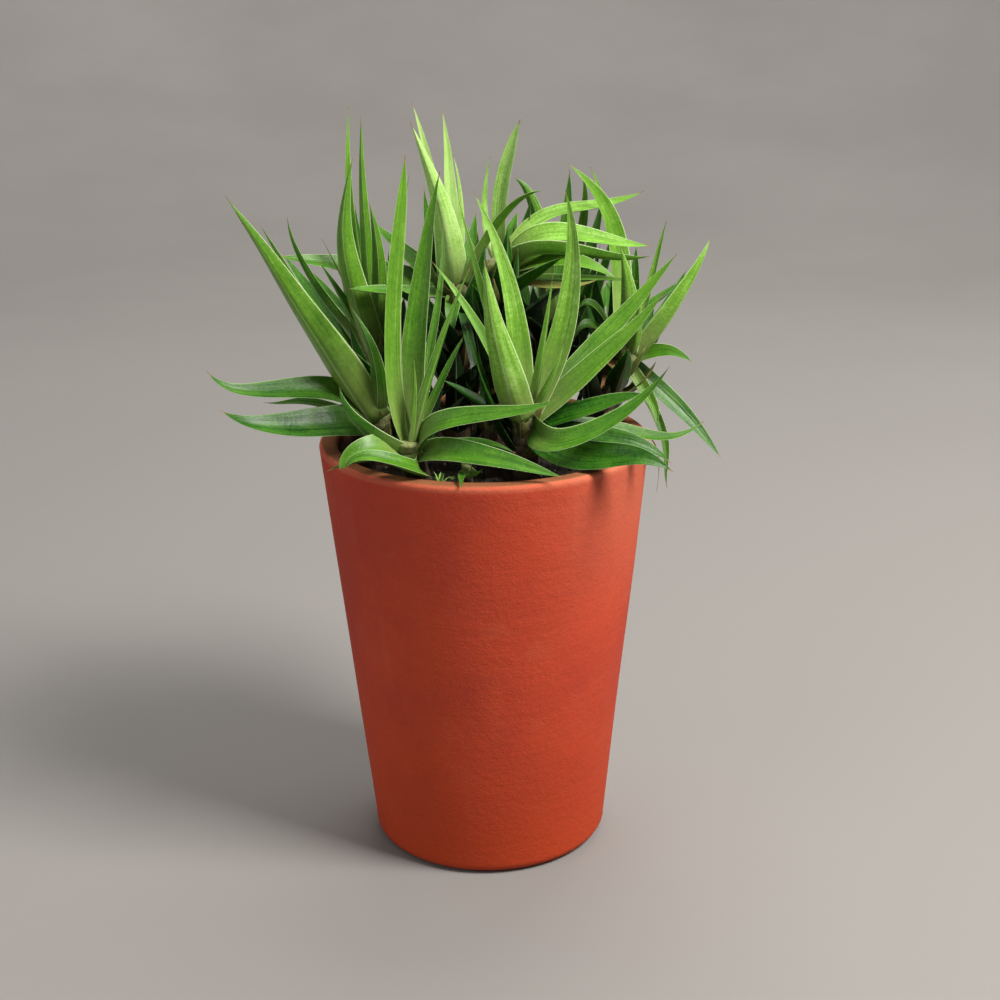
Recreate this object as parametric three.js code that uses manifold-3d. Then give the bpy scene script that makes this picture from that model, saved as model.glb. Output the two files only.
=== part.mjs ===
// A potted haworthia: a crowded clump of leafy heads in a tall clay pot.
// Millimetres, +Z up. The origin is the middle of the pot's flat underside, -Y is the front.

import * as THREE from 'three';
import { mergeVertices } from 'three/addons/utils/BufferGeometryUtils.js';
import Module from 'manifold-3d';

const wasm = await Module();
wasm.setup();

// The pot: a plain straight-sided cone with a soft rim and a small radius at the foot.
const POT_HEIGHT = 130;
const RIM_RADIUS = 50;
const FOOT_RADIUS = 37;
const FOOT_ROUND = 3.5;
const RIM_ROUND = 2.2;
const LIP_ROUND = 1.5;
const WALL = 5.5;
const FLOOR_THICKNESS = 7;
const DRAIN_COUNT = 3;
const DRAIN_RADIUS = 4;
const DRAIN_CIRCLE = 17;
const DRAIN_SIDES = 16;
const DRAIN_CUT = 28;
const POT_SIDES = 48;

// The soil: a plug that fills the pot, with a gently uneven top below the rim.
const SOIL_TOP = 122;
const SOIL_GAP = 0.3;
const SOIL_SIDES = 32;
const SOIL_SWELL = 1.2;
const SOIL_SWELL_REACH = 0.6;

// A leaf: sections along a curved centre line, hollowed above and keeled below. A broad leaf
// is also rounded out beside its keel: where, in shares of its half width and of its depth.
const LEAF_RINGS = 7;
const BROAD = 5;
const FLANK_OUT = 0.6;
const FLANK_DEPTH = 0.72;
const ROOT_WIDTH = 0.92;
const WIDEST = 0.22;
const THICKNESS = 0.4;
const CHANNEL = 0.06;
const THINNEST = 0.8;

// Where a leaf is rooted, in shares of its stem's radius: out from the middle, down into the
// stem, and further down the flatter it lies.
const ROOT_OUT = 0.33;
const ROOT_SINK = 0.3;
const ROOT_DROP = 0.9;

// The leaves that stand by a rule, behind and low on the stems: how steeply they stand in
// turn, how far their steepness, length and roll scatter, and their proportions.
const HIDDEN_LIFTS = [22, 58, 38, 72];
const LIFT_SCATTER = 6;
const LENGTH_SCATTER = 0.12;
const ROLL_SCATTER = 10;
const HIDDEN_ROOT_WIDTH = 0.5;
const HIDDEN_BULGE = 0.07;
const HIDDEN_FULLNESS = 1.5;
const HIDDEN_RINGS = 5;
const GOLDEN_SHARE = 0.618;

// A stem: the stout column that a rosette's leaves grow from, standing in a hole in the soil.
const STEM_RADIUS = 4;
const STEM_SIDES = 8;
const STEM_DEPTH = 9;
const STEM_GAP = 0.3;
const STEM_UPRIGHT = 2.5;
const STEM_REACH = 32;

// Plain colours and roughness, one kind of material each.
const CLAY = { rgb: [0.4, 0.1, 0.04], roughness: 0.85 };
const EARTH = { rgb: [0.03, 0.02, 0.015], roughness: 1 };
const LEAF = { rgb: [0.2, 0.38, 0.09], roughness: 0.45 };

// Each rosette: where its crown is, and its leaves. A leaf's row holds its tip from the
// crown as x, y, z; one or two places that its centre line passes on the way there; its
// width; its roll about its length, in degrees; and how full it stays towards the tip.
// Further leaves are spread by rules, each between two bearings from +X and two distances
// down the stem.
const ROSETTES = {
  rosette_front: {
    crown: [-22, -30, 138],
    leaves: [
      [[-18, -4, 17], [[-13, -4, 7]], 6.4, 40, 1.4],
      [[-18, -12, -5], [[-8, -8, 1], [-15, -11, -1]], 8, -38, 1.8],
      [[-17, -15, -5], [[4, -10, -5], [-7, -15, 0]], 7, -30, 1.8],
      [[-22, -10, -6], [[-11, -6, -3]], 5, 0, 1.5],
      [[2, 2, 80], [[-3, -2, 23], [-1, -1, 52]], 5.6, 85, 4.5],
      [[3, 6, 75], [[-1, 3, 21], [0, 4, 51]], 3.6, 130, 1.6],
      [[11, 13, 74], [[4, 9, 38]], 7.4, 30, 1.6],
      [[11, 24, 57], [[9, 15, 34]], 2.8, 20, 1.3],
      [[3, -3, 24], [[3, -2, 12]], 2, 0, 1.2],
      [[19, 0, 49], [[9, -2, 25]], 3.4, -60, 1.3],
      [[17, 10, 28], [[11, 8, 17]], 2.8, 30, 1.4],
      [[43, -12, 15], [[11, -7, 8], [27, -11, 11]], 7.4, 38, 1.8],
      [[44, -18, -6], [[14, -10, 0], [29, -15, -2]], 8.2, 38, 1.8],
      [[31, -8, -2], [[18, -5, 1]], 4, 20, 1.8],
    ],
    rules: [
      { from: 35, to: 135, start: 0.1, count: 3, length: 28, width: 5.5, high: 1, low: 7 },
    ],
  },
  rosette_left: {
    crown: [-31, -5, 140],
    leaves: [
      [[-40, -13, 66], [[-21, -9, 35]], 12, 50, 1.05],
      [[-33, 3, 55], [[-21, 2, 34]], 6, 45, 1.1],
      [[-48, -17, 17], [[-16, -7, 9], [-34, -13, 10]], 8.4, -45, 1.7],
      [[-43, -27, 8], [[-15, -15, 1], [-30, -21, 2]], 10.6, -45, 1.7],
      [[-34, -5, 4], [[-18, -2, 3], [-26, -4, 4]], 4, -20, 1.6],
      [[-7, -7, 33], [[0, -7, 16]], 5.6, 30, 1.3],
    ],
    rules: [
      { from: -20, to: 45, start: 0.47, count: 2, length: 27, width: 6.5, high: 2, low: 10 },
      { from: 105, to: 155, start: 0.38, count: 2, length: 39, width: 6, high: 0, low: 6 },
    ],
  },
  rosette_centre: {
    crown: [12, -22, 144],
    leaves: [
      [[-11, -12, 46], [[-7, -11, 22]], 10, 30, 1.3],
      [[-14, 8, 62], [[-3, 4, 31]], 7.2, -40, 1.4],
      [[-18, 14, 58], [[-11, 8, 31]], 3.2, -35, 1.4],
      [[-26, 8, 42], [[-12, 5, 22]], 3.8, -45, 1.6],
      [[12, 8, 62], [[13, 6, 31]], 7.4, 45, 1.7],
      [[8, -4, 40], [[5, -4, 20]], 3.2, -30, 1.3],
      [[11, -6, 21], [[7, -5, 10]], 3.4, -30, 1.4],
      [[45, 20, 41], [[26, 14, 21]], 7, 40, 1.6],
      [[40, 4, 33], [[23, 2, 16]], 7.2, 45, 1.7],
      [[40, -14, 16], [[10, -16, -4], [26, -16, 3]], 8, 38, 1.8],
      [[34, -2, 5], [[22, 0, 2]], 7.2, 30, 1.7],
      [[41, -21, -12.5], [[15, -12, -9.5], [28, -19, -8]], 10, 50, 1.9],
      [[42, -6, -15], [[17, -4, -6], [31, -6, -8]], 7.5, 45, 1.8],
      [[53, 10, -7], [[25, 6, -7], [40, 6, -10]], 4.8, 40, 1.9],
      [[40, 16, -31], [[22, 12, -10], [37, 17, -13]], 1, 0, 4],
    ],
    rules: [
      { from: 10, to: 190, start: 0.9, count: 6, length: 28, width: 7, high: 1, low: 12 },
    ],
  },
  rosette_inner: {
    crown: [2, -15, 142],
    stem: 2,
    leaves: [
      [[-7, -1, 26], [[-2, -2, 11]], 3.5, -45, 1.4],
      [[-7, 1, 9], [[-5, 1, 4]], 3.6, -45, 1.4],
      [[-3, 3, 9], [[-2, 3, 4]], 3.6, 0, 1.4],
    ],
  },
  rosette_right: {
    crown: [45, 12, 154],
    leaves: [
      [[27, -12, -32], [[15, -6, -18]], 6, 40, 1.9],
      [[18, -8, -3], [[9, -4, 0]], 5.8, 40, 1.8],
      [[24, 2, 33], [[14, -2, 17]], 9, -40, 1.4],
      [[11, 8, 37], [[7, 6, 22]], 2.8, 20, 1.4],
      [[2, -10, 18], [[1, -8, 7]], 4.2, 0, 1.6],
      [[-4, -6, 32], [[-1, -6, 17]], 8, 0, 1.3],
      [[-19, 7, 55], [[-3, 9, 27], [-8, 9, 43]], 7.4, -40, 1.6],
      [[-12, 12, 53], [[-6, 12, 34]], 2.8, -30, 1.5],
      [[7, -12, -21], [[6, -8, -15]], 4, 40, 1.5],
      [[10, -20, -39], [[9, -8, -23], [10, -16, -31]], 2.8, 40, 1.5],
      [[-18, -6, 11], [[-11, -4, 14]], 5.2, -30, 1.5],
      [[-18, -10, 4], [[-12, -7, 9]], 6, -30, 1.5],
      [[-10, -8, -13], [[-6, -5, -5]], 5, -30, 1.5],
    ],
    rules: [
      { from: 105, to: 310, start: 0.59, count: 7, length: 29, width: 7, high: 4, low: 27 },
      { from: 45, to: 105, start: 0.89, count: 6, length: 40, width: 6.5, high: 0, low: 16 },
    ],
  },
  rosette_top: {
    crown: [-8, 14, 176],
    leaves: [
      [[-12, 6, 51], [[-6, 6, 27]], 4.4, -40, 1.3],
      [[-12, -8, 47], [[-3, -8, 20]], 9, 50, 1.3],
      [[-3, 2, 49], [[-1, 2, 26]], 5.2, -40, 1.3],
      [[0, -2, 37], [[2, -2, 19]], 3.8, 60, 1.3],
      [[-54, -1, 7], [[-25, 9.5, 1]], 8.2, -35, 3],
      [[-31, -16, 0], [[-18, -8, -2]], 5.6, -25, 2.4],
      [[-1, -14, -15], [[-1, -10, -7]], 4.8, 0, 2.6],
      [[26, -10, 27], [[14, -6, 20]], 6, 0, 1.9],
      [[4, -22, -27], [[5, -19, -20]], 3, 0, 2],
    ],
    rules: [
      { from: 190, to: 330, start: 0.24, count: 8, length: 34, width: 8, high: 7, low: 50 },
      { from: 65, to: 140, start: 0.98, count: 7, length: 42, width: 7.5, high: 0, low: 34 },
    ],
  },
  rosette_twin: {
    crown: [4, 17, 181],
    leaves: [
      [[8, 1, 41], [[2, 1, 20]], 4.8, 60, 4],
      [[-1, 11, 29], [[-3, 9, 13]], 2.8, 30, 1.6],
      [[47, -5, 4], [[14, -3, 8], [30, -4, 7]], 8.4, 35, 2.2],
      [[46, -11, 2], [[13, -9, 5], [30, -9, 3]], 7.2, -40, 2.2],
      [[36, -15, -4], [[19, -11, 2]], 8, 30, 2],
      [[43, -9, -6], [[15, -5, -5], [30, -7, -5]], 4, 20, 1.8],
      [[46, 11, 18], [[14, 7, 11], [29, 11, 14]], 5.4, 30, 3],
      [[31, -17, -3], [[19, -13, -6]], 3.4, 30, 1.5],
    ],
    rules: [
      { from: 245, to: 320, start: 0.93, count: 7, length: 33, width: 7, high: 5, low: 52 },
      { from: -15, to: 80, start: 0.96, count: 4, length: 35, width: 7, high: 0, low: 31 },
    ],
  },
  rosette_back_left: {
    crown: [-33, 20, 153],
    leaves: [
      [[-24, -14, 43], [[-18, -10, 24]], 4.6, 20, 1.3],
      [[-15, -16, 30], [[-8, -10, 16]], 4.4, 20, 1.3],
      [[-15, -6, 35], [[-7, -4, 17]], 2.4, 20, 1.3],
      [[-4, -15, 60], [[-5, -13, 22], [-7, -15, 40]], 8.6, 0, 1.4],
      [[-6, 2, 73], [[-6, -3, 37]], 4.4, -30, 1.7],
      [[-2, -4, 71], [[-2, -4, 36]], 4.2, 30, 1.6],
      [[0, -10, 46], [[2, -9, 28]], 5.2, 0, 1.5],
    ],
    rules: [
      { from: -135, to: 10, start: 0.94, count: 7, length: 33, width: 9, high: 4, low: 23 },
      { from: 85, to: 140, start: 0.7, count: 8, length: 48, width: 7, high: 0, low: 16 },
    ],
  },
  rosette_rear: {
    crown: [22, 34, 155],
    leaves: [
      [[9, -4, 48], [[9, -2, 32]], 4.8, 70, 1.6],
      [[-12, -2, 48], [[-4, 0, 33]], 5.4, 75, 1.8],
    ],
    rules: [
      { from: 180, to: 320, start: 0.6, count: 6, length: 29, width: 9, high: 3, low: 20 },
      { from: 15, to: 135, start: 0.6, count: 10, length: 54, width: 8, high: 0, low: 20 },
      { from: 210, to: 330, start: 0.35, count: 2, length: 43, width: 7.5, high: 0, low: 8 },
    ],
  },
  offset: {
    crown: [-5, -35, 132],
    stem: 1.6,
    leaves: [
      [[-1, -16, -2], [[-1, -9, 0]], 2.6, 0, 1.6],
      [[5, -7, 1], [[2, -6, -1]], 3.6, 30, 1.6],
      [[2, 5, 3], [[1, 2, 2]], 2.6, 0, 1.4],
      [[-3, 2, 3], [[-1, 1, 1]], 2.4, 0, 1.4],
    ],
  },
};

function bearing(degrees) {
  const angle = THREE.MathUtils.degToRad(degrees);
  return new THREE.Vector3(Math.cos(angle), Math.sin(angle), 0);
}

// The middle of a leaf's foot, inside the stem below the place that it grows from.
function leafRoot({ base, axis, stem }, reach) {
  const lift = Math.max(reach.z / reach.length(), 0);
  const outward = new THREE.Vector3(reach.x, reach.y, 0).normalize();
  return base.clone()
    .addScaledVector(outward, ROOT_OUT * stem)
    .addScaledVector(axis, -stem * (ROOT_SINK + ROOT_DROP * (1 - lift)));
}

// The smooth curve from root to tip that passes one place half way along, or two at thirds.
function curveThrough(root, passing, tip) {
  if (passing.length === 1) {
    const control = passing[0].clone().multiplyScalar(2)
      .addScaledVector(root, -0.5).addScaledVector(tip, -0.5);
    return new THREE.QuadraticBezierCurve3(root, control, tip);
  }
  const [near, far] = passing;
  const first = near.clone().multiplyScalar(3).addScaledVector(far, -1.5)
    .addScaledVector(root, -5 / 6).addScaledVector(tip, 1 / 3);
  const second = far.clone().multiplyScalar(3).addScaledVector(near, -1.5)
    .addScaledVector(tip, -5 / 6).addScaledVector(root, 1 / 3);
  return new THREE.CubicBezierCurve3(root, first, second, tip);
}

function leafCurve(leaf) {
  const [tipAt, passing, , roll] = leaf.row;
  const fromBase = (at) => leaf.base.clone().add(new THREE.Vector3(...at));
  const reach = new THREE.Vector3(...tipAt);
  const root = leafRoot(leaf, reach);
  const tip = fromBase(tipAt);
  const along = tip.clone().sub(root).normalize();
  const across = new THREE.Vector3(-reach.y, reach.x, 0);
  across.addScaledVector(along, -across.dot(along)).normalize();
  across.applyAxisAngle(along, THREE.MathUtils.degToRad(roll));
  return { curve: curveThrough(root, passing.map(fromBase), tip), across };
}

// The width swells from the root to its widest place, then narrows to the tip.
function widthShare(s, fullness, rootWidth) {
  if (s < WIDEST) {
    return rootWidth + (1 - rootWidth) * Math.sin(0.5 * Math.PI * s / WIDEST);
  }
  return 1 - ((s - WIDEST) / (1 - WIDEST)) ** fullness;
}

// Joins closed rings of equal length into one closed skin, with a fan over each end.
function skin(rings) {
  const count = rings[0].length;
  const points = rings.flat();
  const faces = [];
  for (let ring = 0; ring + 1 < rings.length; ring += 1) {
    for (let i = 0; i < count; i += 1) {
      const a = ring * count + i;
      const b = ring * count + (i + 1) % count;
      faces.push(a, b, b + count, a, b + count, a + count);
    }
  }
  const last = (rings.length - 1) * count;
  for (let i = 1; i + 1 < count; i += 1) {
    faces.push(0, i + 1, i);
    faces.push(last, last + i, last + i + 1);
  }
  const geometry = new THREE.BufferGeometry().setFromPoints(points);
  geometry.setIndex(faces);
  return geometry;
}

function leafGeometry(leaf) {
  const [, , width, , fullness] = leaf.row;
  const { curve, across } = leafCurve(leaf);
  const rings = [];
  for (let ring = 0; ring < leaf.rings; ring += 1) {
    const s = ring / (leaf.rings - 1);
    const centre = curve.getPoint(s);
    const along = curve.getTangent(s);
    const side = across.clone().addScaledVector(along, -across.dot(along)).normalize();
    const upper = along.clone().cross(side);
    const half = Math.max(0.5 * width * widthShare(s, fullness, leaf.rootWidth), 0.5 * THINNEST);
    const depth = Math.max(2 * half * THICKNESS, THINNEST);
    const flank = (sign) => (leaf.broad ? [[sign * FLANK_OUT * half, -FLANK_DEPTH * depth]] : []);
    const above = [[half, 0], [0, -2 * half * CHANNEL], [-half, 0]];
    const section = [...above, ...flank(-1), [0, -depth], ...flank(1)];
    rings.push(section.map(([out, up]) => (
      centre.clone().addScaledVector(side, out).addScaledVector(upper, up))));
  }
  return skin(rings);
}

function toSolid(geometry) {
  const bare = geometry.clone();
  bare.deleteAttribute('normal');
  bare.deleteAttribute('uv');
  const merged = mergeVertices(bare, 1e-4);
  const vertProperties = Float32Array.from(merged.attributes.position.array);
  const triVerts = Uint32Array.from(merged.index.array);
  return new wasm.Manifold(new wasm.Mesh({ numProp: 3, vertProperties, triVerts }));
}

function toGeometry(solid) {
  const mesh = solid.getMesh();
  const geometry = new THREE.BufferGeometry();
  geometry.setAttribute('position', new THREE.BufferAttribute(mesh.vertProperties, 3));
  geometry.setIndex(new THREE.BufferAttribute(mesh.triVerts, 1));
  geometry.computeVertexNormals();
  return geometry;
}

function lathe(profile, sides) {
  const geometry = new THREE.LatheGeometry(profile.map(([r, z]) => new THREE.Vector2(r, z)), sides);
  geometry.rotateX(0.5 * Math.PI);
  return geometry;
}

function arc(centreR, centreZ, radius, from, to, steps) {
  const points = [];
  for (let i = 0; i <= steps; i += 1) {
    const angle = THREE.MathUtils.degToRad(from + (to - from) * i / steps);
    points.push([centreR + radius * Math.cos(angle), centreZ + radius * Math.sin(angle)]);
  }
  return points;
}

// The inside of the wall at height z.
function innerRadius(z) {
  return FOOT_RADIUS + (RIM_RADIUS - FOOT_RADIUS) * z / POT_HEIGHT - WALL;
}

function potSolid() {
  const profile = [
    [0, 0],
    ...arc(FOOT_RADIUS - FOOT_ROUND, FOOT_ROUND, FOOT_ROUND, -90, 0, 4),
    ...arc(RIM_RADIUS - RIM_ROUND, POT_HEIGHT - RIM_ROUND, RIM_ROUND, 0, 90, 4),
    ...arc(RIM_RADIUS - WALL + LIP_ROUND, POT_HEIGHT - LIP_ROUND, LIP_ROUND, 90, 180, 3),
    [innerRadius(FLOOR_THICKNESS), FLOOR_THICKNESS],
    [0, FLOOR_THICKNESS],
  ];
  let pot = toSolid(lathe(profile, POT_SIDES));
  for (let i = 0; i < DRAIN_COUNT; i += 1) {
    const hole = new THREE.CylinderGeometry(DRAIN_RADIUS, DRAIN_RADIUS, DRAIN_CUT, DRAIN_SIDES);
    hole.rotateX(0.5 * Math.PI);
    const at = bearing(90 + 360 * i / DRAIN_COUNT).multiplyScalar(DRAIN_CIRCLE);
    hole.translate(at.x, at.y, 0);
    pot = pot.subtract(toSolid(hole));
  }
  return pot;
}

// Where a stem leaves the soil: under its crown, or nearer the middle if that is past the wall.
function stemFoot(crown) {
  const fromMiddle = Math.hypot(crown.x, crown.y);
  const share = Math.min(1, STEM_REACH / fromMiddle);
  return new THREE.Vector3(crown.x * share, crown.y * share, SOIL_TOP);
}

function ringAt(centre, radius) {
  const ring = [];
  for (let i = 0; i < STEM_SIDES; i += 1) {
    ring.push(bearing(360 * i / STEM_SIDES).multiplyScalar(radius).add(centre));
  }
  return ring;
}

// A stem stands straight in its hole and leans to its crown above the soil.
function stemSolid({ crown: at, stem = STEM_RADIUS }) {
  const crown = new THREE.Vector3(...at);
  const foot = stemFoot(crown);
  const bottom = foot.clone().setZ(SOIL_TOP - STEM_DEPTH + STEM_GAP);
  const turn = foot.clone().setZ(SOIL_TOP + STEM_UPRIGHT);
  return toSolid(skin([bottom, turn, crown].map((centre) => ringAt(centre, stem))));
}

function stemHole({ crown, stem = STEM_RADIUS }) {
  const foot = stemFoot(new THREE.Vector3(...crown));
  const wide = stem + STEM_GAP;
  const hole = new THREE.CylinderGeometry(wide, wide, 2 * STEM_DEPTH, STEM_SIDES);
  hole.rotateX(0.5 * Math.PI);
  hole.translate(foot.x, foot.y, SOIL_TOP);
  return toSolid(hole);
}

// A number from -1 to 1 that scatters evenly as the count goes up.
function scatter(count) {
  return 2 * ((count * GOLDEN_SHARE) % 1) - 1;
}

// The leaves of one rule, spread between its bearings and down the stem by the golden share.
function ruledLeaves(grown, { from, to, start, count, length, width, high, low }) {
  const leaves = [];
  for (let i = 0; i < count; i += 1) {
    const outward = bearing(from + (to - from) * ((start + i * GOLDEN_SHARE) % 1));
    const steepness = HIDDEN_LIFTS[i % HIDDEN_LIFTS.length] + LIFT_SCATTER * scatter(2 * i + 1);
    const lift = THREE.MathUtils.degToRad(steepness);
    const reach = length * (1 + LENGTH_SCATTER * scatter(3 * i + 2));
    const tip = outward.clone().multiplyScalar(reach * Math.cos(lift));
    tip.z = reach * Math.sin(lift);
    const belly = tip.clone().multiplyScalar(0.5).addScaledVector(outward, HIDDEN_BULGE * reach);
    const down = high + (low - high) * (i + 0.5) / count;
    const base = grown.base.clone().addScaledVector(grown.axis, -down);
    const row = [tip.toArray(), [belly.toArray()], width, ROLL_SCATTER * scatter(i), HIDDEN_FULLNESS];
    leaves.push({ ...grown, base, row, rings: HIDDEN_RINGS, rootWidth: HIDDEN_ROOT_WIDTH, broad: false });
  }
  return leaves;
}

// Every leaf of a rosette: its row, the place on the stem that it grows from, the stem's
// direction there and the stem's radius.
function rosetteLeaves({ crown, stem = STEM_RADIUS, leaves, rules = [] }) {
  const base = new THREE.Vector3(...crown);
  const axis = base.clone().sub(stemFoot(base)).normalize();
  const grown = { base, axis, stem };
  const shown = leaves.map((row) => (
    { ...grown, row, rings: LEAF_RINGS, rootWidth: ROOT_WIDTH, broad: row[2] >= BROAD }));
  return [...shown, ...rules.flatMap((rule) => ruledLeaves(grown, rule))];
}

// Leaves that lean together can close off a small hollow: only the outer skin is kept.
function outerSkin(solid) {
  return solid.decompose().reduce((largest, skinPart) => (
    skinPart.volume() > largest.volume() ? skinPart : largest
  ));
}

function rosetteSolid(rosette) {
  let solid = stemSolid(rosette);
  for (const leaf of rosetteLeaves(rosette)) {
    solid = solid.add(toSolid(leafGeometry(leaf)));
  }
  return outerSkin(solid);
}

function soilSolid() {
  const profile = [
    [0, FLOOR_THICKNESS + SOIL_GAP],
    [innerRadius(FLOOR_THICKNESS) - SOIL_GAP, FLOOR_THICKNESS + SOIL_GAP],
    [innerRadius(SOIL_TOP) - SOIL_GAP, SOIL_TOP],
    [SOIL_SWELL_REACH * innerRadius(SOIL_TOP), SOIL_TOP + SOIL_SWELL],
    [0, SOIL_TOP + SOIL_SWELL],
  ];
  let soil = toSolid(lathe(profile, SOIL_SIDES));
  for (const rosette of Object.values(ROSETTES)) {
    soil = soil.subtract(stemHole(rosette));
  }
  return soil;
}

function addMesh(group, name, solid, { rgb, roughness }) {
  const colour = new THREE.Color(...rgb);
  const material = new THREE.MeshStandardMaterial({ color: colour, roughness, metalness: 0 });
  const mesh = new THREE.Mesh(toGeometry(solid), material);
  mesh.name = name;
  group.add(mesh);
}

const plant = new THREE.Group();
addMesh(plant, 'pot', potSolid(), CLAY);
addMesh(plant, 'soil', soilSolid(), EARTH);
for (const [name, rosette] of Object.entries(ROSETTES)) {
  addMesh(plant, name, rosetteSolid(rosette), LEAF);
}

export default plant;
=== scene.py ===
"""A potted haworthia: a crowded clump of leafy rosettes in a tall clay pot.

Every surface is a formula on a grid of two parameters, worked out as whole arrays.  The tables
and shapes are in millimetres, as they were measured, and become metres where a mesh is made.
The origin is the middle of the pot's flat underside, +Z is up and -Y is the front.
"""

import math
from typing import NamedTuple

import bpy
import numpy as np
from bpy.props import FloatProperty, FloatVectorProperty, IntProperty, PointerProperty
from mathutils import Matrix, Vector


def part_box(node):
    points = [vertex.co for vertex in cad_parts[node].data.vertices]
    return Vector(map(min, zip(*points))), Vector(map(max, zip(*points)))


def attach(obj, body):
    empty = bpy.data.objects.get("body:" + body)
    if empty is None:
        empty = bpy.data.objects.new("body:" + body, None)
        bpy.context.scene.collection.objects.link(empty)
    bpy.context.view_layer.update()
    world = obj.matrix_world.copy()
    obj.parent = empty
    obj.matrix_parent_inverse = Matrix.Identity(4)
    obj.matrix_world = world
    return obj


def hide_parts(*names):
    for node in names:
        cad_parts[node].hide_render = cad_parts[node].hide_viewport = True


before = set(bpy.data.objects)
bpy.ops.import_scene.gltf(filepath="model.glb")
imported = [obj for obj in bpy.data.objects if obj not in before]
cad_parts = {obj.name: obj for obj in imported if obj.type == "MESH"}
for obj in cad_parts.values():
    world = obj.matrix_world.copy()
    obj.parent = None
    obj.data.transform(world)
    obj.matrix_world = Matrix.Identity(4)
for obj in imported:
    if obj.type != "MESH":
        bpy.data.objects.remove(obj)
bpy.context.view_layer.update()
POT_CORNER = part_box("pot")[1]
BODY = "root"
MM = 0.001

bl_info = {
    "name": "Potted Haworthia",
    "version": (1, 0, 0),
    "blender": (4, 5, 0),
    "location": "3D View > Sidebar > Haworthia",
    "description": "Builds a clump of haworthia rosettes in a tall clay pot",
    "category": "Add Mesh",
}

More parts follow.
